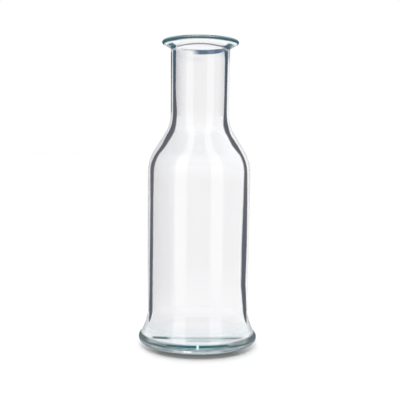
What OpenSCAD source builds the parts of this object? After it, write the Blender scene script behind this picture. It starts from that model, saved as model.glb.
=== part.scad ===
// A table carafe, made from one piece of clear glass: a heavy foot with a round
// bead, a waisted body, a soft shoulder, a straight bore in the neck and a wide
// pouring lip. Sizes are in millimetres. The origin is on the table, in the
// middle of the foot, and the axis of the carafe is Z.

/* [Overall] */
// Height from the table to the top of the lip
height = 268; // [255:1:285]

/* [Foot] */
// How far the bead stands out beyond the waist
foot_reach = 8.1; // [7.5:0.05:12]
// Radius of the bead's round edge
bead_r = 4; // [3.2:0.1:4.6]
// Where on the bead's round the body comes down on it, up from level
crease_angle = 52; // [45:1:65]
// Width of the flat ring that the carafe stands on
ring_w = 3; // [1.5:0.5:6]
// How far the middle of the underside is pushed up
punt_h = 2.5; // [1:0.25:4]

/* [Body] */
// Diameter of the body where the shoulder begins, its widest place
body_d = 91.6; // [86:0.1:100]
// How much the radius draws in from there to the waist
waist_draw = 0.75; // [0.5:0.05:4]
// Height of the waist above the table
waist_z = 30; // [24:0.1:36]
// Height at which the shoulder begins
shoulder_z = 151.8; // [145:0.1:158]
// Thickness of the glass in the side of the body
body_wall = 4.3; // [3:0.1:5]

/* [Floor] */
// Height of the inside floor at its edge
floor_z = 12; // [9:0.5:16]
// How much higher the inside floor is in the middle
floor_crown = 1.2; // [0.5:0.1:2.5]
// Radius of the inside corner between floor and side
heel_r = 5; // [3:0.5:8]

/* [Shoulder] */
// Radius of the round curve that turns the side inward
shoulder_r = 37; // [32:1:42]
// Radius of the hollow curve that leads up into the neck
throat_r = 30.5; // [25:0.5:34]
// Slope of the straight stretch between the two curves, from upright
shoulder_angle = 32.5; // [31:0.5:35]

/* [Neck] */
// Outside diameter at the foot of the neck
neck_d = 51.8; // [48:0.1:58]
// How much its outside radius grows on the way up to the lip
neck_swell = 0.35; // [0.1:0.05:1.5]
// Thickness of the glass at the foot of the neck, round the straight bore
neck_wall = 4; // [3:0.05:5]

/* [Lip] */
// How far the pouring lip stands out beyond the top of the neck
lip_reach = 7.7; // [6:0.1:10]
// Thickness of the lip at its rounded edge
lip_t = 3.6; // [3.2:0.1:4.4]
// Slope of the lip's underside, from level
lip_under_angle = 27; // [18:1:28]
// Slope of the funnel inside the lip, from level
funnel_angle = 32; // [26:1:38]
// Radius of the hollow corner between neck and lip
lip_fillet_r = 2; // [1:0.5:3]
// Radius of the round edge where the funnel drops into the bore
mouth_r = 6; // [3:0.5:7]

/* [Hidden] */

// Largest turn that one step of an arc makes, in degrees
step_angle = 5;
// Fewest steps in an arc, for the long flat ones
least_steps = 6;
// Steps round the carafe in the preview mesh
$fn = 96;
// Points nearer together than this are one point
same_point = 0.001;

body_r = body_d / 2;
waist_r = body_r - waist_draw;
foot_r = waist_r + foot_reach;
neck_r = neck_d / 2;
neck_top_r = neck_r + neck_swell;
bore_r = neck_r - neck_wall;
lip_r = lip_t / 2;

// Centres of the round sections of the bead and of the lip
bead_c = [foot_r - bead_r, bead_r];
lip_c = [neck_top_r + lip_reach - lip_r, height - lip_r];

// The crease is where the body comes down on the bead. From the waist to the
// crease it runs out in a hollow curve, the flare, which is upright at the waist.
crease = bead_c + bead_r * [cos(crease_angle), sin(crease_angle)];
flare_run = [crease[0] - waist_r, waist_z - crease[1]];
flare_r = (flare_run * flare_run) / (2 * flare_run[0]);
flare_c = [waist_r + flare_r, waist_z];

// Points on an arc about c, from angle a0 to angle a1, with both ends
function arc(c, r, a0, a1) =
    let (n = max(least_steps, ceil(abs(a1 - a0) / step_angle)))
    [for (i = [0:n]) let (a = a0 + (a1 - a0) * i / n) c + r * [cos(a), sin(a)]];

// Angle of the direction from point a to point b
function heading(a, b) = atan2(b[1] - a[1], b[0] - a[0]);

// A list of points in the other order
function turned(points) = [for (i = [len(points) - 1:-1:0]) points[i]];

// A list of points without those that only repeat the one before
function distinct(points) =
    [for (i = [0:len(points) - 1])
        if (i == 0 || norm(points[i] - points[i - 1]) > same_point) points[i]];

// The arc of radius r that rounds the corner p, on the way from a to b
function corner(a, p, b, r) =
    let (u = (a - p) / norm(a - p),
         v = (b - p) / norm(b - p),
         half = acos(u * v) / 2,
         mid = (u + v) / norm(u + v),
         c = p + mid * r / sin(half),
         on_u = p + u * r / tan(half),
         on_v = p + v * r / tan(half),
         start = heading(c, on_u),
         turn = heading(c, on_v) - start,
         short_turn = turn > 180 ? turn - 360 : turn < -180 ? turn + 360 : turn)
    arc(c, r, start, start + short_turn);

// The long bow of the body's side: one arc that is upright at the shoulder
// and runs into the flare without a kink. Points go upward.
function bow(r_waist, r_top, r_flare) =
    let (rise = shoulder_z - waist_z,
         swell = r_top - r_waist,
         centres = (rise * rise + swell * swell) / (2 * swell),
         r_bow = centres - r_flare)
    arc([r_top - r_bow, shoulder_z], r_bow, -asin(rise / centres), 0);

// Angle at which the flare takes over from the bow
function bow_angle(r_waist, r_top) =
    let (rise = shoulder_z - waist_z,
         swell = r_top - r_waist,
         centres = (rise * rise + swell * swell) / (2 * swell))
    180 - asin(rise / centres);

// Length of the straight stretch in a shoulder that comes in from r_low to r_high
function straight(r_low, r_high, r_round, r_hollow) =
    (r_low - r_high - (r_round + r_hollow) * (1 - cos(shoulder_angle)))
    / sin(shoulder_angle);

// Height at which that shoulder becomes the upright neck
function throat_z(r_low, r_high, r_round, r_hollow) =
    shoulder_z + (r_round + r_hollow) * sin(shoulder_angle)
    + straight(r_low, r_high, r_round, r_hollow) * cos(shoulder_angle);

// The shoulder: a round arc, a straight stretch and a hollow arc, going upward
function shoulder(r_low, r_high, r_round, r_hollow) = concat(
    arc([r_low - r_round, shoulder_z], r_round, 0, shoulder_angle),
    arc([r_high + r_hollow, throat_z(r_low, r_high, r_round, r_hollow)],
        r_hollow, 180 + shoulder_angle, 180));

// The underside: pushed up in the middle, with a flat ring to stand on
ring_in_r = bead_c[0] - ring_w;
punt_r = (ring_in_r * ring_in_r + punt_h * punt_h) / (2 * punt_h);
underside = arc([0, punt_h - punt_r], punt_r, 90, 90 - asin(ring_in_r / punt_r));

// The foot: the round bead, up to the crease, and the flare above it
foot = concat(arc(bead_c, bead_r, -90, 0), arc(bead_c, bead_r, 0, crease_angle));
flare = arc(flare_c, flare_r,
            heading(flare_c, crease) + 360, bow_angle(waist_r, body_r));

// The lip: its rounded edge, between the slopes of its underside and its funnel
lip = concat(arc(lip_c, lip_r, lip_under_angle - 90, 0),
             arc(lip_c, lip_r, 0, 90),
             arc(lip_c, lip_r, 90, 90 + funnel_angle));
lip_foot = lip[0];
lip_crown = lip[len(lip) - 1];

// Where the slopes of the lip meet the neck and the bore, before they are rounded
neck_corner = [neck_top_r,
               lip_foot[1] - (lip_foot[0] - neck_top_r) * tan(lip_under_angle)];
mouth_corner = [bore_r, lip_crown[1] - (lip_crown[0] - bore_r) * tan(funnel_angle)];

neck_start = [neck_r, throat_z(body_r, neck_r, shoulder_r, throat_r)];

// The inside: the same curves, drawn in by the thickness of the glass
cavity_r = body_r - body_wall;
cavity_waist_r = waist_r - body_wall;
cavity_flare_r = flare_r + body_wall;
cavity_shoulder_r = shoulder_r - body_wall;
cavity_throat_r = throat_r + neck_r - bore_r;
bore_z = throat_z(cavity_r, bore_r, cavity_shoulder_r, cavity_throat_r);
bore_start = [bore_r, bore_z];

// The heel: the inside corner, which touches both the floor and the flare
heel_drop = waist_z - floor_z - heel_r;
heel_c = [flare_c[0] - sqrt(pow(cavity_flare_r + heel_r, 2) - pow(heel_drop, 2)),
          floor_z + heel_r];
heel_angle = heading(heel_c, flare_c);
cavity_flare = arc(flare_c, cavity_flare_r,
                   bow_angle(cavity_waist_r, cavity_r), heel_angle + 180);
heel = arc(heel_c, heel_r, heel_angle, -90);

// The inside floor rises a little to the middle
floor_r = (heel_c[0] * heel_c[0] + floor_crown * floor_crown) / (2 * floor_crown);
inside_floor = arc([0, floor_z + floor_crown - floor_r], floor_r,
                   90 - asin(heel_c[0] / floor_r), 90);

outside = concat(
    underside,
    foot,
    flare,
    bow(waist_r, body_r, flare_r),
    shoulder(body_r, neck_r, shoulder_r, throat_r),
    corner(neck_start, neck_corner, lip_foot, lip_fillet_r),
    lip);

inside = concat(
    corner(lip_crown, mouth_corner, bore_start, mouth_r),
    turned(shoulder(cavity_r, bore_r, cavity_shoulder_r, cavity_throat_r)),
    turned(bow(cavity_waist_r, cavity_r, cavity_flare_r)),
    cavity_flare,
    heel,
    inside_floor);

module carafe()
    color([0.78, 0.89, 0.90, 0.5])
        rotate_extrude()
            polygon(distinct(concat(outside, inside)));

carafe();
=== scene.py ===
# %% [markdown]
# A table carafe of clear glass
#
# The object is one piece of glass: a heavy foot with a round bead, a waisted
# body, a soft shoulder, a straight neck and a rolled pouring lip. It stands on
# a white table in front of a white background. This lesson starts from the
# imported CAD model, makes the glass wall anew from its section, so that it is
# smooth enough to look through, and then gives it a finish, light and a camera.

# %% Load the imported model
import math

import bpy
from mathutils import Matrix, Vector


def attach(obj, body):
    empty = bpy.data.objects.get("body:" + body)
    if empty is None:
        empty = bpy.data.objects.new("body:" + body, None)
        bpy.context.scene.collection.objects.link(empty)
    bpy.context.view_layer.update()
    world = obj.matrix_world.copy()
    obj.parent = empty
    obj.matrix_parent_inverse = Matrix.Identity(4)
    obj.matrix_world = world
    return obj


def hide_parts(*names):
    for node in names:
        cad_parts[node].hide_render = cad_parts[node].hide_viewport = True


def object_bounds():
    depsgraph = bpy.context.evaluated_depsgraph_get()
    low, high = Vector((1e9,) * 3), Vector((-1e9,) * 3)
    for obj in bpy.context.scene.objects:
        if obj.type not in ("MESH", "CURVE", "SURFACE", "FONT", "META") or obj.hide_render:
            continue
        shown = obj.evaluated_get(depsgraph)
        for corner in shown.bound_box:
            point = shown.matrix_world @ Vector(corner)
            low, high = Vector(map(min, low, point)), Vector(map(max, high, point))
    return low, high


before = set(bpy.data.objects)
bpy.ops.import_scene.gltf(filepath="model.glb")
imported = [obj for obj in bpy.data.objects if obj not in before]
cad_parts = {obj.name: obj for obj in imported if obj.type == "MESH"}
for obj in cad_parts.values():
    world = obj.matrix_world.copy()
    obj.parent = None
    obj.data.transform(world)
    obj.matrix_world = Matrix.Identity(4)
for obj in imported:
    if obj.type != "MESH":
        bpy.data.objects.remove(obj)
CAD_BOX = [list(corner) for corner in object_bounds()]
MM = 0.001
print("CAD box in mm:", [[round(v / MM, 1) for v in corner] for corner in CAD_BOX])

# %% [markdown]
# Helpers for modelling
#
# An operator of Blender works on everything that is selected, and the loaded
# CAD model is still selected. So each piece starts from nothing selected, and
# vertices are picked in code, by where they are. `pick` does that: it takes a
# rule, and selects the vertices that meet it.

# %% Selecting by rule


def only(piece):
    """Select one object alone and make it the active one."""
    bpy.ops.object.select_all(action="DESELECT")
    piece.select_set(True)
    bpy.context.view_layer.objects.active = piece


def pick(piece, rule):
    """In edit mode, select the vertices whose place meets the rule."""
    bpy.ops.object.mode_set(mode="OBJECT")
    vertices = piece.data.vertices
    for vertex in vertices:
        vertex.select = rule(vertex.co)
    for edge in piece.data.edges:
        edge.select = all(vertices[i].select for i in edge.vertices)
    for face in piece.data.polygons:
        face.select = all(vertices[i].select for i in face.vertices)
    bpy.ops.object.mode_set(mode="EDIT")


print("helpers for modelling are ready")

# %% [markdown]
# The section of the glass
#
# The real carafe is pressed and blown in a turning mould, so any cut through
# its axis shows the same outline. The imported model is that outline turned
# round, but in loose triangles. They would show as flats in clear glass. One
# way to get a smooth wall is to cut a copy of the model through the axis, keep
# half of the outline, and turn it again with more steps. That keeps the CAD
# model's exact shape, which is why it is done here.

# %% Cut the copy and keep half an outline
SAME_POINT = 0.001 * MM
cad_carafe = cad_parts["carafe"]
glass = cad_carafe.copy()
glass.data = cad_carafe.data.copy()
glass.name = glass.data.name = "carafe_glass"
glass.parent = None
bpy.context.scene.collection.objects.link(glass)
only(glass)
bpy.ops.object.mode_set(mode="EDIT")
bpy.ops.mesh.customdata_custom_splitnormals_clear()
bpy.ops.mesh.select_all(action="SELECT")
bpy.ops.mesh.remove_doubles(threshold=SAME_POINT)
bpy.ops.mesh.bisect(plane_co=(0, 0, 0), plane_no=(0, 1, 0))
bpy.ops.mesh.select_all(action="INVERT")
bpy.ops.mesh.delete(type="VERT")
pick(glass, lambda co: co.x < -SAME_POINT)
bpy.ops.mesh.delete(type="VERT")
bpy.ops.mesh.select_all(action="SELECT")
bpy.ops.mesh.delete(type="ONLY_FACE")
bpy.ops.object.mode_set(mode="OBJECT")
print("points in the section:", len(glass.data.vertices))

# %% [markdown]
# Even steps along the bore
#
# The bore of the neck is one long straight edge among short ones. The wall is
# subdivided later on, which draws each corner towards its neighbours, and so
# long an edge would pull its ends far out of place. It is divided first. It is
# found as the longest upright edge of the section.

# %% Divide the bore
BORE_CUTS = 7
places = [vertex.co.copy() for vertex in glass.data.vertices]
upright_lengths = {}
for edge in glass.data.edges:
    start, end = (places[i] for i in edge.vertices)
    if abs(start.x - end.x) < SAME_POINT:
        upright_lengths[edge.index] = (start - end).length
bore_edge = glass.data.edges[max(upright_lengths, key=upright_lengths.get)]
bore_ends = [places[i] for i in bore_edge.vertices]
print("the bore runs over", round(upright_lengths[bore_edge.index] / MM, 2), "mm")
pick(glass, lambda co: min((co - end).length for end in bore_ends) < SAME_POINT)
bpy.ops.mesh.subdivide(number_cuts=BORE_CUTS)
bpy.ops.object.mode_set(mode="OBJECT")
print("points with the bore divided:", len(glass.data.vertices))

# %% [markdown]
# The crease above the bead
#
# Where the body comes down on the bead, the CAD outline has a sharp corner. On
# fire-polished glass nothing is sharp, so that corner is rounded by a bevel of
# its one point. It is found as the sharpest bend in the lowest part of the
# section.

# %% Round the crease
CREASE_ROUND = 0.55 * MM
CREASE_STEPS = 3
BEAD_TOP = 8 * MM


def bend_at(vertex):
    """How far the section turns at a vertex, in degrees."""
    arms = [vertex.co - glass.data.vertices[i].co
            for edge in glass.data.edges if vertex.index in edge.vertices
            for i in edge.vertices if i != vertex.index]
    return 180 - math.degrees(arms[0].angle(arms[1])) if len(arms) == 2 else 0


low_points = [vertex for vertex in glass.data.vertices if vertex.co.z < BEAD_TOP]
crease = max(low_points, key=bend_at).co.copy()
print("the crease is at", [round(v / MM, 2) for v in crease])
pick(glass, lambda co: (co - crease).length < SAME_POINT)
bpy.ops.mesh.bevel(offset=CREASE_ROUND, segments=CREASE_STEPS, affect="VERTICES")
bpy.ops.object.mode_set(mode="OBJECT")
print("points with the crease rounded:", len(glass.data.vertices))

# %% [markdown]
# The turned wall
#
# Turning the section is what the mould does. The steps meet at the end, so
# doubled points are merged and the faces are turned outward. A subdivision
# then rounds what the steps leave, as the fire does on the real glass.

# %% Turn the section round the axis
TURN_STEPS = 90
SEAM_GAP = 2 * SAME_POINT
bpy.ops.object.mode_set(mode="EDIT")
bpy.ops.mesh.select_all(action="SELECT")
bpy.ops.mesh.spin(steps=TURN_STEPS, angle=2 * math.pi, center=(0, 0, 0), axis=(0, 0, 1))
bpy.ops.mesh.select_all(action="SELECT")
bpy.ops.mesh.remove_doubles(threshold=SEAM_GAP)
bpy.ops.mesh.select_all(action="SELECT")
bpy.ops.mesh.normals_make_consistent(inside=False)
bpy.ops.object.mode_set(mode="OBJECT")
smoother = glass.modifiers.new("smooth wall", "SUBSURF")
smoother.levels = smoother.render_levels = 1
only(glass)
bpy.ops.object.modifier_apply(modifier=smoother.name)
bpy.ops.object.shade_smooth()
triangles = sum(len(p.vertices) - 2 for p in glass.data.polygons)
print("wall of", len(glass.data.vertices), "points and", triangles, "triangles")

# %% [markdown]
# Marking the inside
#
# The outer side of the wall and the inside of the vessel look different in a
# studio: the outer side bends the light of the whole room, the inside mostly
# passes it on. The finish has to know which is which, so each point gets a
# number: 1 where the glass faces the axis or is the inside floor, else 0.

# %% Mark the inside of the vessel
FLOOR_TOP = 20 * MM
FACES_UP = 0.75
FACES_AXIS = -0.2
inside_of = []
for vertex in glass.data.vertices:
    from_axis = Vector((vertex.co.x, vertex.co.y, 0))
    lean = vertex.normal.dot(from_axis.normalized()) if from_axis.length > SAME_POINT else 0
    is_floor = vertex.normal.z > FACES_UP and vertex.co.z < FLOOR_TOP
    inside_of.append(1.0 if lean < FACES_AXIS or is_floor else 0.0)
glass.data.attributes.new("inside", "FLOAT", "POINT").data.foreach_set("value", inside_of)
print("inside points:", int(sum(inside_of)), "of", len(inside_of))

# %% [markdown]
# Helpers for finishes
#
# A finish is a tree of nodes. These helpers keep the tree readable: `add` makes
# a node and `feed` fills one of its sockets, `calc` makes a maths node from
# numbers and sockets, `ramp` runs a number through a row of stops, and `blend`
# mixes two colours. The Mix node has a set of sockets for each kind of value,
# under the same names, so the three for colours are told by their numbers.

# %% Making nodes
FIRST_COLOUR = 6
SECOND_COLOUR = 7
MIXED_COLOUR = 2


def feed(tree, socket, value):
    """Link a socket to another one, or set it to a fixed value."""
    if isinstance(value, bpy.types.NodeSocket):
        tree.links.new(value, socket)
    else:
        socket.default_value = value


def add(tree, kind, values=None, **settings):
    """Add a node; values are for its inputs, settings for the node itself."""
    node = tree.nodes.new("ShaderNode" + kind)
    for name, value in settings.items():
        setattr(node, name, value)
    for name, value in (values or {}).items():
        feed(tree, node.inputs[name], value)
    return node


def calc(tree, operation, *values, clamp=False):
    """Result of a maths node for numbers or sockets."""
    node = add(tree, "Math", operation=operation, use_clamp=clamp)
    for socket, value in zip(node.inputs, values):
        feed(tree, socket, value)
    return node.outputs[0]


def grey(value):
    """A colour without hue."""
    return (value, value, value, 1)


def ramp(tree, source, stops):
    """Colour at a place between stops, each (place, colour or grey number)."""
    node = add(tree, "ValToRGB", {"Fac": source})
    elements = node.color_ramp.elements
    for i, (place, colour) in enumerate(stops):
        element = elements[i] if i < 2 else elements.new(place)
        element.position = place
        element.color = colour if isinstance(colour, tuple) else grey(colour)
    return node.outputs[0]


def blend(tree, share, low, high):
    """Mix two colours by a share from 0 to 1."""
    node = add(tree, "Mix", {"Factor": share, FIRST_COLOUR: low, SECOND_COLOUR: high},
               data_type="RGBA")
    return node.outputs[MIXED_COLOUR]


print("helpers for nodes are ready")

# %% [markdown]
# Most of the finish is masks: numbers from 0 to 1 that say how strong a line
# or a ring is at a place. `band` makes one from a measure, `product` keeps what
# is in all of several masks, and `strongest` keeps what is in any of them.

# %% Making masks


def band(tree, source, start, end, soft, value=1.0):
    """A value between start and end, falling to 0 over a soft distance."""
    return ramp(tree, source, [(start - soft, 0.0), (start, value), (end, value),
                               (end + soft, 0.0)])


def product(tree, *values):
    """Multiply any count of numbers or sockets."""
    result = values[0]
    for value in values[1:]:
        result = calc(tree, "MULTIPLY", result, value)
    return result


def strongest(tree, *values):
    """The largest of any count of numbers or sockets."""
    result = values[0]
    for value in values[1:]:
        result = calc(tree, "MAXIMUM", result, value)
    return result


print("helpers for masks are ready")

# %% [markdown]
# Places on the carafe
#
# The painted lines and rings of light and shade lie at certain heights and sides,
# so the finish starts from the place on the piece, in its Object coordinates.
# `share` runs from 0 at the table to 1 at the top of the lip. `foot_share` and
# `lip_share` do the same within the lowest 10 and the highest 14 millimetres.
# `sideways` runs from -1 at the foot's left end to 1 at its right end, and
# `side_share` from 0 to 1.

# %% Measures of place
TALL = CAD_BOX[1][2]
HALF_WIDTH = CAD_BOX[1][0]
FOOT_SPAN = 10 * MM
LIP_SPAN = 14 * MM
finish = bpy.data.materials.new("clear_glass_finish")
finish.use_nodes = True
tree = finish.node_tree
tree.nodes.clear()
place = add(tree, "TexCoord").outputs["Object"]
across, depth, height = add(tree, "SeparateXYZ", {0: place}).outputs
share = calc(tree, "DIVIDE", height, TALL)
foot_share = calc(tree, "DIVIDE", height, FOOT_SPAN, clamp=True)
lip_height = calc(tree, "SUBTRACT", height, TALL - LIP_SPAN)
lip_share = calc(tree, "DIVIDE", lip_height, LIP_SPAN, clamp=True)
sideways = calc(tree, "DIVIDE", across, HALF_WIDTH)
side_share = calc(tree, "MULTIPLY_ADD", sideways, 0.5, 0.5)
flat = add(tree, "CombineXYZ", {"X": across, "Y": depth}).outputs[0]
radius = add(tree, "VectorMath", {0: flat}, operation="LENGTH").outputs["Value"]
outward = add(tree, "VectorMath", {0: flat}, operation="NORMALIZE").outputs["Vector"]
print("places are measured on", round(TALL / MM), "mm of height")

# %% [markdown]
# Clear glass
#
# Soda-lime glass is nearly colourless through a thin wall and blue-green where
# one looks along it. A clear Principled surface gives the surface, and a volume
# that absorbs a little red gives the colour of thick places. The shoulder is
# seen a little brighter than the body and the neck, so its surface is painted
# clearer: painted light.

# %% The clear glass itself
SHOULDER_PAINTED_CLEAR = (0.990, 0.990, 0.995, 1)
WALL_CLEAR = (0.953, 0.948, 0.954, 1)
tint = add(tree, "VolumeAbsorption", {"Color": (0.35, 0.74, 0.80, 1), "Density": 1.5})
# Painted light: the shoulder band is made clearer so that it is seen brighter.
painted_clearness = ramp(tree, share, [
    (0.54, WALL_CLEAR), (0.60, SHOULDER_PAINTED_CLEAR), (0.70, SHOULDER_PAINTED_CLEAR), (0.78, WALL_CLEAR)])
clear = add(tree, "BsdfPrincipled", {
    "Base Color": painted_clearness, "Roughness": 0.0, "IOR": 1.52, "Transmission Weight": 1.0})
print("clear glass of", finish.name)

# %% [markdown]
# Dark edge lines
#
# In a white studio glass shows itself by dark lines along its edges. There the
# wall bends the light so far that the eye no longer sees the white background,
# but the dark room beside it. This scene has no dark room, so the lines are
# drawn in the finish, by how far the surface is turned away from the eye. A
# Layer Weight node with Blend at one half gives that, from 0 to 1.
#
# `facing` takes the surface's own normal. `round_facing` takes the level
# direction out from the axis as the normal, so it doesn't change over the
# roundings of lip and foot. `from_around` takes the direction round the axis:
# it is near 0 where the eye looks along the wall, at the left and right ends.
# Seen from high above, every upright wall is turned away and would go dark all
# round. There from_around is large, so `aside` fades the lines out.

# %% How far the surface is turned away
facing = add(tree, "LayerWeight", {"Blend": 0.5}).outputs["Facing"]
round_facing = add(tree, "LayerWeight", {"Blend": 0.5, "Normal": outward}).outputs["Facing"]
around = add(tree, "VectorMath", {0: outward, 1: (0, 0, 1)}, operation="CROSS_PRODUCT")
around_weight = add(tree, "LayerWeight", {"Blend": 0.5, "Normal": around.outputs[0]})
from_around = around_weight.outputs["Facing"]
aside = ramp(tree, from_around, [(0.30, 1.0), (0.45, 0.0)])
print("three measures of turning away are set up")

# %% [markdown]
# The painted lines belong to the outer side of the wall, where that faces the
# eye. The inside of the vessel and the back of each face stay clear. The
# painted lines and greys differ a little between the two halves, so `right` is
# 0 on the left and 1 on the right, with a soft change at the axis.

# %% Sides of the wall
SIDE_CHANGE = 6.0
inside = add(tree, "Attribute", attribute_name="inside").outputs["Fac"]
behind = add(tree, "NewGeometry").outputs["Backfacing"]
in_front = calc(tree, "SUBTRACT", 1.0, behind)
outer = product(tree, calc(tree, "SUBTRACT", 1.0, inside, clamp=True), in_front)
right = calc(tree, "MULTIPLY_ADD", sideways, SIDE_CHANGE, 0.5, clamp=True)
print("outer side and right side are told apart")

# %% [markdown]
# For each height, two numbers say where the line begins and ends, as shares by
# which the surface is turned away. The neck has a narrow bore and a thick wall,
# so its line lies further in. Glass from a mould has slight waves, which make
# the line thicker and thinner on its way up. Each stop is (share of the height,
# share of turning away).

# %% Where the edge lines lie
LINE_SHARPNESS = 22.0


def by_side(left_stops, right_stops):
    """A number by height, from other stops on the left than on the right."""
    return blend(tree, right, ramp(tree, share, left_stops), ramp(tree, share, right_stops))


line_in = by_side(
    [(0.064, 0.660), (0.081, 0.612), (0.112, 0.585), (0.203, 0.575), (0.34, 0.550),
     (0.474, 0.541), (0.593, 0.521), (0.625, 0.515), (0.656, 0.475), (0.688, 0.450),
     (0.72, 0.40), (0.767, 0.375), (0.83, 0.432), (1.0, 0.425)],
    [(0.064, 0.680), (0.082, 0.625), (0.112, 0.600), (0.203, 0.495), (0.34, 0.483),
     (0.474, 0.505), (0.593, 0.522), (0.625, 0.530), (0.656, 0.475), (0.688, 0.470),
     (0.72, 0.40), (0.767, 0.430), (0.83, 0.440), (0.93, 0.442), (0.96, 0.40)])
line_out = by_side(
    [(0.064, 0.600), (0.081, 0.700), (0.112, 0.800), (0.203, 0.750), (0.34, 0.715),
     (0.474, 0.690), (0.593, 0.710), (0.625, 0.670), (0.656, 0.640), (0.688, 0.685),
     (0.72, 0.640), (0.767, 0.62), (0.83, 0.62), (1.0, 0.64)],
    [(0.064, 0.620), (0.082, 0.735), (0.112, 0.810), (0.203, 0.690), (0.34, 0.710),
     (0.474, 0.690), (0.593, 0.653), (0.625, 0.650), (0.656, 0.665), (0.688, 0.620),
     (0.72, 0.655), (0.767, 0.62), (0.83, 0.62), (1.0, 0.645)])
begun = calc(tree, "MULTIPLY_ADD", calc(tree, "SUBTRACT", facing, line_in), LINE_SHARPNESS,
             0.5, clamp=True)
ended = calc(tree, "MULTIPLY_ADD", calc(tree, "SUBTRACT", line_out, facing), LINE_SHARPNESS,
             0.5, clamp=True)
between_ends = ramp(tree, share, [(0.045, 0.0), (0.060, 1.0), (0.960, 1.0), (0.967, 0.0)])
line = product(tree, begun, ended, between_ends, aside)
print("edge lines are placed")

# %% [markdown]
# Soft greys beside the lines
#
# The glass shades off softly to the left, outside its edge line too, and more so
# in the neck, as if the room were darker on that side: this is painted shade.
# The neck has a second, thin painted line of shade there, like a hair.

# %% Shade on the left
NECK_FROM = 0.3
leftness = ramp(tree, calc(tree, "MULTIPLY_ADD", sideways, -0.5, 0.5), [
    (0.56, 0.0), (0.70, 1.0)])
neck_strength = ramp(tree, share, [
    (0.74, 0.0), (0.77, 0.88), (0.83, 0.80), (0.93, 1.0), (0.958, 1.0), (0.966, 0.0)])
in_neck = calc(tree, "GREATER_THAN", neck_strength, NECK_FROM)
body_shade = ramp(tree, facing, [(0.10, 0.0), (0.2, 0.10), (0.5, 0.25), (0.75, 0.30)])
neck_shade = ramp(tree, facing, [(0.10, 0.02), (0.2, 0.16), (0.42, 0.42), (0.60, 0.2)])
shade_left = product(tree, blend(tree, in_neck, body_shade, neck_shade), leftness,
                     between_ends, ramp(tree, share, [(0.10, 0.6), (0.20, 1.0)]))
hair_line_shade = product(tree, ramp(tree, facing, [(0.67, 0.0), (0.72, 0.95), (0.86, 0.95), (0.96, 0.2)]),
               leftness, neck_strength, aside)
print("shade on the left is placed")

# %% [markdown]
# On the right the painted greys of shade are fainter: a rim of shade along the
# shoulder, outside the edge line, a breath of grey inside the neck's line, and a
# darker stretch where the neck runs up into the lip.

# %% Greys on the right
shade_rim_right = product(tree, right, aside,
                    ramp(tree, facing, [(0.70, 0.0), (0.76, 0.15), (0.92, 0.15), (1.0, 0.05)]),
                    ramp(tree, share, [(0.42, 0.0), (0.52, 1.0), (0.70, 1.0), (0.75, 0.0)]))
neck_shade_right = product(tree, right, in_neck,
                     ramp(tree, facing, [(0.22, 0.0), (0.44, 0.24), (0.5, 0.0)]))
neck_top_shade = product(tree, right, aside, ramp(tree, facing, [(0.50, 0.0), (0.60, 1.0)]),
                   ramp(tree, share, [(0.915, 0.0), (0.945, 0.42), (0.963, 0.5), (0.967, 0.0)]))
print("greys on the right are placed")

# %% [markdown]
# The rolled lip
#
# The lip's rounded edge is a solid rod of glass, bent round. One looks along the
# glass there, so it is blue-green, and its darkness is painted shade that stands
# for the room seen through the rod: a narrow ring in the middle, and a wide one
# towards the ends, a little lower on the left. Over the middle of the ring a
# painted grey light lies on the lip's top.

# %% Rings of the lip
RING_DROP_LEFT = 0.020
ring_place = calc(tree, "MULTIPLY_ADD", leftness, RING_DROP_LEFT, lip_share)
beside = calc(tree, "ABSOLUTE", sideways)
lip_ring_shade = blend(tree, ramp(tree, beside, [(0.15, 0.0), (0.40, 1.0)]),
                 band(tree, lip_share, 0.775, 0.885, 0.025, 0.93),
                 band(tree, ring_place, 0.765, 1.10, 0.04, 0.98))
lip_top_painted_grey = product(tree, ramp(tree, lip_share, [(0.91, 0.0), (0.94, 0.65)]),
                  ramp(tree, beside, [(0.15, 1.0), (0.32, 0.0)]))
print("rings of the lip are placed")

# %% [markdown]
# Where the neck meets the lip the wall turns sharply: that draws a thin grey
# arc, which hangs lower towards its ends, with a dark blob at each end. Arc and
# blobs are painted shade.

# %% The arc under the lip
ARC_SAG = 0.24
arc_place = calc(tree, "MULTIPLY_ADD", round_facing, ARC_SAG, lip_share)
neck_arc_shade = product(tree, band(tree, arc_place, 0.505, 0.550, 0.025, 0.88),
                   ramp(tree, round_facing, [(0.36, 1.0), (0.44, 0.0)]))
shade_blobs = product(tree,
                ramp(tree, lip_share, [(0.22, 0.0), (0.26, 0.7), (0.36, 0.7), (0.41, 1.0),
                                       (0.63, 1.0), (0.70, 0.0)]),
                ramp(tree, round_facing, [(0.38, 0.0), (0.46, 0.85), (0.50, 0.95),
                                          (0.62, 0.95), (0.75, 0.7), (0.95, 0.4)]))
print("arc and blobs are placed")

# %% [markdown]
# Right under the arc, at the front, the glass is painted pale: painted light.
# Without this band the scene would show the mouth there a second time. Its lower
# limit rises towards the ends, and its upper one is the arc.

# %% The pale band under the lip
BAND_RISE = -0.44
band_place = calc(tree, "MULTIPLY_ADD", round_facing, BAND_RISE, lip_share)
under_lip_painted_light = product(tree, ramp(tree, band_place, [(0.155, 0.0), (0.195, 0.92)]),
                    ramp(tree, arc_place, [(0.465, 1.0), (0.500, 0.0)]),
                    ramp(tree, round_facing, [(0.30, 1.0), (0.40, 0.0)]), outer)
print("pale band under the lip is placed")

# %% [markdown]
# The mouth seen through the lip is a painted dark blue crescent of shade on the
# far side of the funnel, stronger and wider to the right. Above it the funnel is
# painted pale: painted light.

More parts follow.
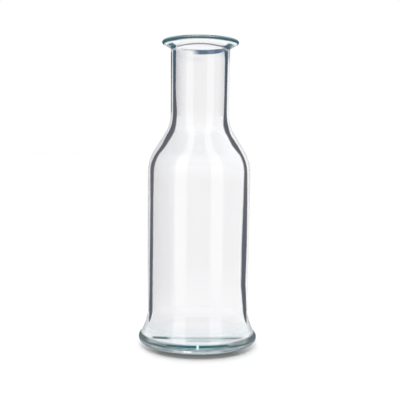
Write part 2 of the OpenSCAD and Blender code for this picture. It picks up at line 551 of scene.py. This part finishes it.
# %% The crescent of the mouth
far_inside = product(tree, inside, in_front)
thin_crescent_shade = band(tree, lip_share, 0.38, 0.64, 0.045, 0.97)
wide_crescent_shade = product(tree, band(tree, lip_share, 0.38, 0.74, 0.045, 0.94),
                        ramp(tree, side_share, [(0.66, 0.0), (0.75, 1.0)]))
crescent_shade = product(tree, strongest(tree, thin_crescent_shade, wide_crescent_shade),
                   ramp(tree, side_share, [(0.42, 0.02), (0.49, 1.0)]), far_inside)
funnel_painted_light = product(tree, band(tree, lip_share, 0.66, 0.97, 0.03, 0.85), far_inside)
print("crescent is placed")

# %% [markdown]
# The heavy foot
#
# The bead is a solid rod too. It shows one painted dark line of shade under the
# crease, which hands over to a lower line towards the ends, with a third one
# further down.
# All three hang lower away from the middle, so a drop is added to the height by
# which they are placed.

# %% Lines of the bead
low_drop = ramp(tree, round_facing, [(0.20, 0.0), (0.50, 0.07)])
low_place = calc(tree, "ADD", foot_share, low_drop)
upper_drop = calc(tree, "ADD", ramp(tree, round_facing, [(0.08, 0.0), (0.20, 0.035)]),
                  ramp(tree, side_share, [(0.26, 0.035), (0.46, 0.0)]))
upper_place = calc(tree, "ADD", foot_share, upper_drop)
upper_shade_line = product(tree, band(tree, upper_place, 0.675, 0.81, 0.07, 0.98),
                     ramp(tree, round_facing, [(0.18, 1.0), (0.29, 0.0)]))
lower_shade_line = product(tree, band(tree, low_place, 0.54, 0.63, 0.05, 0.97),
                     ramp(tree, round_facing, [(0.11, 0.0), (0.20, 1.0)]))
third_shade_line = product(tree, band(tree, low_place, 0.23, 0.34, 0.06, 0.80),
                     ramp(tree, round_facing, [(0.07, 0.0), (0.15, 1.0)]))
print("lines of the bead are placed")

# %% [markdown]
# At its two ends one looks along the bead, and it is painted dark with shade:
# over its rounding, further in below that, and once more at the right end. It is
# painted dark too where it stands on the table, and grey above the line on the
# right: painted shade as well.

# %% Ends of the bead
round_end_shade = product(tree, band(tree, foot_share, 0.57, 0.82, 0.06, 0.96),
                    ramp(tree, from_around, [(0.13, 1.0), (0.243, 0.0)]))
lower_end_shade = product(tree, ramp(tree, foot_share, [(0.56, 0.72), (0.66, 0.0)]),
                    ramp(tree, from_around, [(0.213, 1.0), (0.459, 0.0)]))
right_end_shade = product(tree, ramp(tree, foot_share, [(0.30, 0.0), (0.45, 0.86), (0.74, 0.86),
                                                  (0.86, 0.0)]),
                    ramp(tree, side_share, [(0.86, 0.0), (0.90, 1.0)]))
bead_end_shade = strongest(tree, round_end_shade, lower_end_shade, right_end_shade)
resting_shade = ramp(tree, foot_share, [(0.12, 0.9), (0.20, 0.45), (0.26, 0.0)])
shade_above_right = product(tree, band(tree, foot_share, 0.66, 0.86, 0.08, 0.72),
                      ramp(tree, side_share, [(0.70, 0.0), (0.80, 1.0)]))
print("ends of the bead are placed")

# %% [markdown]
# Fine streaks of painted shade run round the bead, broken up as the glass's
# slight waves break up the light. They are a noise that is drawn out along the
# bead: its scale is far smaller across and in depth than in height.

# %% Streaks of the bead
GRAIN_SCALE = (80, 80, 1500)
drawn_out = add(tree, "VectorMath", {0: place, 1: GRAIN_SCALE}, operation="MULTIPLY")
grain = add(tree, "TexNoise", {"Vector": drawn_out.outputs[0], "Scale": 1.0, "Detail": 1.0})
shade_streaks = product(tree, ramp(tree, grain.outputs[0], [(0.38, 0.62), (0.62, 1.0)]),
                  ramp(tree, foot_share, [
                      (0.20, 0.40), (0.36, 0.48), (0.44, 0.84), (0.62, 0.90), (0.80, 0.74),
                      (0.87, 0.45), (0.93, 0.0)]))
print("streaks are placed")

# %% [markdown]
# Above the bead the flare has only a thin grey outline of painted shade, and at
# the right a darker touch of painted shade where it comes down on the crease.

# %% Outline of the flare
flare_outline_shade = product(
    tree, band(tree, share, 0.033, 0.092, 0.008), aside,
    ramp(tree, facing, [(0.60, 0.0), (0.72, 0.30), (0.85, 0.42), (1.0, 0.5)]))
crease_shade_touch = product(
    tree, band(tree, foot_share, 0.82, 1.10, 0.04, 0.50), right,
    ramp(tree, round_facing, [(0.62, 0.0), (0.70, 1.0)]),
    ramp(tree, share, [(0.038, 1.0), (0.044, 0.0)]))
print("outline of the flare is placed")

# %% [markdown]
# The inside corner
#
# Where the vessel's inside floor meets its side, the corner shows through the
# flare as a thin line of changing strength, with a darker piece at the left, an
# echo below it and a faint grey haze round it; all of it is painted shade. The
# line hangs lower towards the ends, because one looks down on the corner through
# the wall.

# %% The line of the inside corner
CORNER_SPAN = 20 * MM
CORNER_SAG = 9 * MM
hung_height = calc(tree, "MULTIPLY_ADD", round_facing, CORNER_SAG, height)
corner_place = calc(tree, "DIVIDE", hung_height, CORNER_SPAN)
corner_shade_line = product(tree, band(tree, corner_place, 0.685, 0.725, 0.03),
                      ramp(tree, side_share, [
                          (0.29, 0.0), (0.32, 0.30), (0.37, 0.18), (0.45, 0.38), (0.60, 0.36),
                          (0.67, 0.42), (0.73, 0.65), (0.80, 0.78), (0.85, 0.55), (0.88, 0.0)]))
corner_shade_left = product(tree, band(tree, corner_place, 0.672, 0.728, 0.035, 0.92),
                      ramp(tree, side_share, [
                          (0.12, 0.0), (0.15, 1.0), (0.25, 1.0), (0.31, 0.0)]))
corner_shade_echo = product(tree, band(tree, corner_place, 0.590, 0.612, 0.025, 0.36),
                      band(tree, side_share, 0.44, 0.60, 0.05))
corner_shade_haze = product(tree, band(tree, corner_place, 0.61, 0.76, 0.04, 0.24),
                      ramp(tree, side_share, [
                          (0.38, 0.0), (0.48, 1.0), (0.60, 1.0), (0.86, 0.7), (0.89, 0.0)]))
print("line of the inside corner is placed")

# %% [markdown]
# Two small painted highlights sit on the bead: a window's patch low on the left
# and a thin blue-green spark in the middle, where the bead acts as a lens. With
# the pale band under the lip they are the painted light places of the outer side.

# %% Gleams
painted_window_patch = product(tree, band(tree, side_share, 0.396, 0.448, 0.02),
                band(tree, foot_share, 0.30, 0.40, 0.04), outer)
painted_spark = product(tree, band(tree, side_share, 0.496, 0.510, 0.004),
                band(tree, foot_share, 0.58, 0.88, 0.05, 0.95), outer)
painted_gleams = strongest(tree, painted_window_patch, painted_spark, under_lip_painted_light)
print("gleams are placed")

# %% [markdown]
# Joining the masks
#
# All the places of painted shade on the outer side are joined to one mask. Where
# two of them overlap the stronger one counts, so no place gets darker by chance.

# %% Join the dark places
edge_masks = (line, shade_left, hair_line_shade, shade_rim_right, neck_shade_right, neck_top_shade)
lip_masks = (lip_ring_shade, lip_top_painted_grey, neck_arc_shade, shade_blobs)
foot_masks = (upper_shade_line, lower_shade_line, third_shade_line, bead_end_shade, resting_shade, shade_above_right, shade_streaks,
              flare_outline_shade, crease_shade_touch)
corner_masks = (corner_shade_line, corner_shade_left, corner_shade_echo, corner_shade_haze)
painted_shade_masks = edge_masks + lip_masks + foot_masks + corner_masks
painted_shade_outside = product(tree, strongest(tree, *painted_shade_masks), outer)
print("dark places joined:", len(painted_shade_masks))

# %% [markdown]
# The colour of the painted shade depends on where it is: grey-blue along the
# body, bluer up the neck, and blue-green in the foot and the lip, where the
# glass is thick. The arc, the ring that the bead rests on and the painted light
# places have a colour each, and are laid over the others in turn.

# %% Colours of the outer side
ARC_FROM = 0.05
ARC_SHADE_GREY = (0.20, 0.21, 0.235, 1)
RESTING_SHADE_GREY = (0.12, 0.14, 0.145, 1)
PAINTED_SPARK_BLUE = (0.70, 1.0, 1.0, 1)
UNDER_LIP_PAINTED_LIGHT = (0.95, 0.955, 0.98, 1)
wall_shade_colour = ramp(tree, share, [
    (0.06, (0.110, 0.126, 0.150, 1)), (0.30, (0.114, 0.126, 0.156, 1)),
    (0.50, (0.132, 0.138, 0.156, 1)), (0.62, (0.134, 0.131, 0.152, 1)),
    (0.76, (0.114, 0.118, 0.140, 1)), (0.83, (0.098, 0.112, 0.144, 1)),
    (0.90, (0.070, 0.102, 0.138, 1)), (0.955, (0.06, 0.110, 0.155, 1)),
    (0.972, (0.06, 0.13, 0.17, 1)), (0.98, (0.034, 0.12, 0.147, 1)),
    (0.9945, (0.034, 0.12, 0.147, 1)), (0.998, (0.60, 0.67, 0.69, 1))])
wall_shade_colour = blend(tree, calc(tree, "GREATER_THAN", neck_arc_shade, ARC_FROM), wall_shade_colour,
                    ARC_SHADE_GREY)
foot_shade_colour = ramp(tree, round_facing, [
    (0.04, (0.0, 0.120, 0.140, 1)), (0.08, (0.035, 0.130, 0.145, 1)),
    (0.18, (0.055, 0.125, 0.138, 1)), (0.35, (0.075, 0.130, 0.140, 1)),
    (0.60, (0.105, 0.138, 0.152, 1))])
foot_shade_colour = blend(tree, ramp(tree, foot_share, [(0.13, 1.0), (0.20, 0.0)]), foot_shade_colour,
                    RESTING_SHADE_GREY)
outside_painted_colour = blend(tree, ramp(tree, share, [(0.050, 0.0), (0.056, 1.0)]), foot_shade_colour,
                       wall_shade_colour)
outside_painted_colour = blend(tree, painted_spark, outside_painted_colour, PAINTED_SPARK_BLUE)
outside_painted_colour = blend(tree, painted_window_patch, outside_painted_colour, grey(1.0))
outside_painted_colour = blend(tree, calc(tree, "GREATER_THAN", under_lip_painted_light, neck_arc_shade), outside_painted_colour,
                       UNDER_LIP_PAINTED_LIGHT)
print("colours of the outside are set")

# %% [markdown]
# The inside floor is so bright under the room's light that it can't be told from
# the white behind it. It is painted to that brightness as painted light, or the
# floor would show the shade of the table under the foot. The rest of the inside
# has a mask only in the mouth: painted dark blue shade in the crescent, and
# painted near-white light in the funnel above it.

# %% Colours of the inside
FLOOR_REACH = 21 * MM
FLOOR_STRENGTH = 0.88
FLOOR_LIGHT_ABOVE = (0.97, 0.965, 0.975, 1)
FLOOR_LIGHT_BELOW = (0.88, 0.91, 0.925, 1)
on_floor = calc(tree, "LESS_THAN", height, FLOOR_REACH)
floor_light_mask = product(tree, inside, on_floor, FLOOR_STRENGTH)
floor_painted_light = blend(tree, behind, FLOOR_LIGHT_ABOVE, FLOOR_LIGHT_BELOW)
mouth_painted_colour = ramp(tree, lip_share, [
    (0.64, (0.050, 0.120, 0.205, 1)), (0.70, (0.62, 0.74, 0.93, 1)),
    (0.78, (0.93, 0.95, 1.0, 1))])
inside_painted_colour = blend(tree, calc(tree, "GREATER_THAN", floor_light_mask, 0.5), mouth_painted_colour,
                      floor_painted_light)
print("colours of the inside are set")

# %% [markdown]
# The masks take the clear glass away by their strength and put their own colour
# in its place. That colour is a plain glow, because it stands for light of the
# room that comes through the glass, and no lamp may change it.

# %% Mix the masks into the clear glass
glow = add(tree, "Emission", {"Color": blend(tree, inside, outside_painted_colour, inside_painted_colour)})
masked = strongest(tree, painted_shade_outside, painted_gleams, crescent_shade, funnel_painted_light, floor_light_mask)
edged = add(tree, "MixShader", {"Fac": masked})
tree.links.new(clear.outputs[0], edged.inputs[1])
tree.links.new(glow.outputs[0], edged.inputs[2])
print("masks are mixed in")

# %% [markdown]
# The shadow of clear glass
#
# Clear glass casts hardly any shadow, so rays of shadow and of soft light pass
# straight through. Only the front of the bead holds them back, so that a dark
# line of shadow lies close under it.

# %% What the lamp meets
PASSED_BY_WALL = 0.998
PASSED_BY_BEAD = 0.08
BEAD_HEIGHT = 7.2 * MM
BEAD_FROM = 46.5 * MM
BEAD_FRONT = 53.0 * MM
path = add(tree, "LightPath")
soft_ray = calc(tree, "MAXIMUM", path.outputs["Is Shadow Ray"], path.outputs["Is Diffuse Ray"])
frontness = ramp(tree, calc(tree, "DIVIDE", depth, -BEAD_FRONT), [
    (0.1, 0.1), (0.5, 0.6), (0.8, 1.0)])
in_bead = product(tree, calc(tree, "LESS_THAN", height, BEAD_HEIGHT),
                  calc(tree, "GREATER_THAN", radius, BEAD_FROM), frontness)
passed = blend(tree, in_bead, grey(PASSED_BY_WALL), grey(PASSED_BY_BEAD))
shade = add(tree, "BsdfTransparent", {"Color": passed})
whole = add(tree, "MixShader", {"Fac": soft_ray})
tree.links.new(edged.outputs[0], whole.inputs[1])
tree.links.new(shade.outputs[0], whole.inputs[2])
print("share of light that the wall passes:", PASSED_BY_WALL)

# %% [markdown]
# The surface and the tinted volume now go to the material's output, and the
# material on the glass. The new wall rides on the part's one body, takes this
# finish and stands for the CAD carafe, which is hidden by that.

# %% Put the finish on the glass
surface = add(tree, "OutputMaterial")
tree.links.new(whole.outputs[0], surface.inputs["Surface"])
tree.links.new(tint.outputs[0], surface.inputs["Volume"])
glass.data.materials.clear()
glass.data.materials.append(finish)
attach(glass, "root")
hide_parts("carafe")
print("nodes in the finish:", len(tree.nodes))

# %% [markdown]
# The table
#
# A plain white sheet. Polished glass would mirror it in the lower half of every
# wall, so it isn't shown to mirror rays: a studio hides it with a card. A
# little light of its own lifts it to the white of the background.

# %% White table
TABLE_METRES = 60
bpy.ops.mesh.primitive_plane_add(size=TABLE_METRES)
table = bpy.context.active_object
table.name = "white_table"
table.visible_glossy = False
paper = bpy.data.materials.new("white_table_finish")
paper.use_nodes = True
matt = paper.node_tree.nodes["Principled BSDF"]
matt.inputs["Base Color"].default_value = grey(0.95)
matt.inputs["Roughness"].default_value = 1
matt.inputs["Specular IOR Level"].default_value = 0
matt.inputs["Emission Color"].default_value = grey(1)
matt.inputs["Emission Strength"].default_value = 0.03
table.data.materials.append(paper)
print("table of", table.dimensions.x, "m")

# %% [markdown]
# Light
#
# The shadow lies in front of the foot and is soft, so the main light is a large
# window behind the carafe, rather low. It isn't seen in the glass itself.

# %% The window behind
WINDOW_FROM = Vector((-0.05, 0.95, 0.55))
WINDOW_STRENGTH = 5.68
WINDOW_SPREAD = math.radians(32)
window = bpy.data.lights.new("window_behind", "SUN")
window.energy = WINDOW_STRENGTH
window.angle = WINDOW_SPREAD
window_lamp = bpy.data.objects.new("window_behind", window)
bpy.context.scene.collection.objects.link(window_lamp)
window_lamp.rotation_euler = WINDOW_FROM.to_track_quat("Z", "Y").to_euler()
window_lamp.visible_glossy = window_lamp.visible_transmission = False
print("window at", round(math.degrees(WINDOW_FROM.angle(Vector((0, 1, 0))))), "degrees")

# %% [markdown]
# The room
#
# The background is white for the camera. Mirror rays see two tall bright panels
# beside the camera, which lay the long soft bands on the body, and below the
# horizon an even bright field in the table's place. The directions are measured
# in the world: `turn` goes round it and `rise` goes up.

# %% What mirror rays see
TABLE_MIRRORED = 1.25
world = bpy.data.worlds.new("studio")
bpy.context.scene.world = world
world.use_nodes = True
room = world.node_tree
room.nodes.clear()
ways = add(room, "SeparateXYZ", {0: add(room, "TexCoord").outputs["Generated"]})
turn = calc(room, "ARCTAN2", ways.outputs["X"], ways.outputs["Y"])
turn_share = calc(room, "DIVIDE", calc(room, "ABSOLUTE", turn), math.pi)


def beside_camera(angle, value):
    """A stop of the panels' ramp, by its angle from the camera's side."""
    return (1 - angle / 180, value)


panels = ramp(room, turn_share, [
    beside_camera(angle, value) for angle, value in
    ((180, 1.0), (120, 1.0), (90, 0.5), (75, 0.2), (58, 0.27), (52, 1.8), (29, 1.8),
     (24, 0.27), (0, 0.27))])
rise = calc(room, "DIVIDE", calc(room, "ARCSINE", ways.outputs["Z"]), math.pi / 2)
below = ramp(room, calc(room, "MULTIPLY_ADD", rise, 0.5, 0.5), [(0.42, 1.0), (0.445, 0.0)])
mirrored = blend(room, below, panels, grey(TABLE_MIRRORED))
print("panels are set up")

# %% [markdown]
# Rays through the glass see the white background too, and a darker ceiling
# above it. The room's own light on the table is weak, so that the light of the
# window still draws a shadow.

# %% What the other rays see
ROOM_LIGHT = 0.14
CEILING = (0.06, 0.09, 0.12, 1)
rays = add(room, "LightPath")
ceiling = ramp(room, rise, [(0.42, 1.0), (0.62, CEILING)])
seen = blend(room, rays.outputs["Is Glossy Ray"], grey(ROOM_LIGHT), mirrored)
seen = blend(room, rays.outputs["Is Transmission Ray"], seen, ceiling)
seen = blend(room, rays.outputs["Is Camera Ray"], seen, grey(1.0))
sky = add(room, "Background", {"Color": seen})
add(room, "OutputWorld", {"Surface": sky.outputs[0]})
print("nodes in the room:", len(room.nodes))

# %% [markdown]
# The camera
#
# It stands a little above the shoulder and looks slightly down. Its distance
# and lens come from fitting the outline of the carafe to the photograph.

# %% The camera
DISTANCE = 616.2 * MM
EYE_HEIGHT = 170.2 * MM
PITCH = math.radians(4.01)
ROLL = math.radians(0.64)
FOCAL_PX = 688.4
AXIS_PX = 198.86
PICTURE_PX = 400
SENSOR_WIDTH = 36
camera = bpy.data.cameras.new("photo_camera")
eye = bpy.data.objects.new("photo_camera", camera)
bpy.context.scene.collection.objects.link(eye)
bpy.context.scene.camera = eye
eye.location = (0, -DISTANCE, EYE_HEIGHT)
camera.sensor_width = SENSOR_WIDTH
camera.lens = SENSOR_WIDTH * FOCAL_PX / PICTURE_PX
yaw = math.atan((AXIS_PX - PICTURE_PX / 2) / FOCAL_PX)
look = (Matrix.Rotation(yaw, 4, "Z") @ Matrix.Rotation(math.pi / 2 - PITCH, 4, "X")
        @ Matrix.Rotation(ROLL, 4, "Z"))
eye.rotation_euler = look.to_euler()
bpy.context.scene.view_settings.view_transform = "Standard"
print("lens in mm:", round(camera.lens, 2))
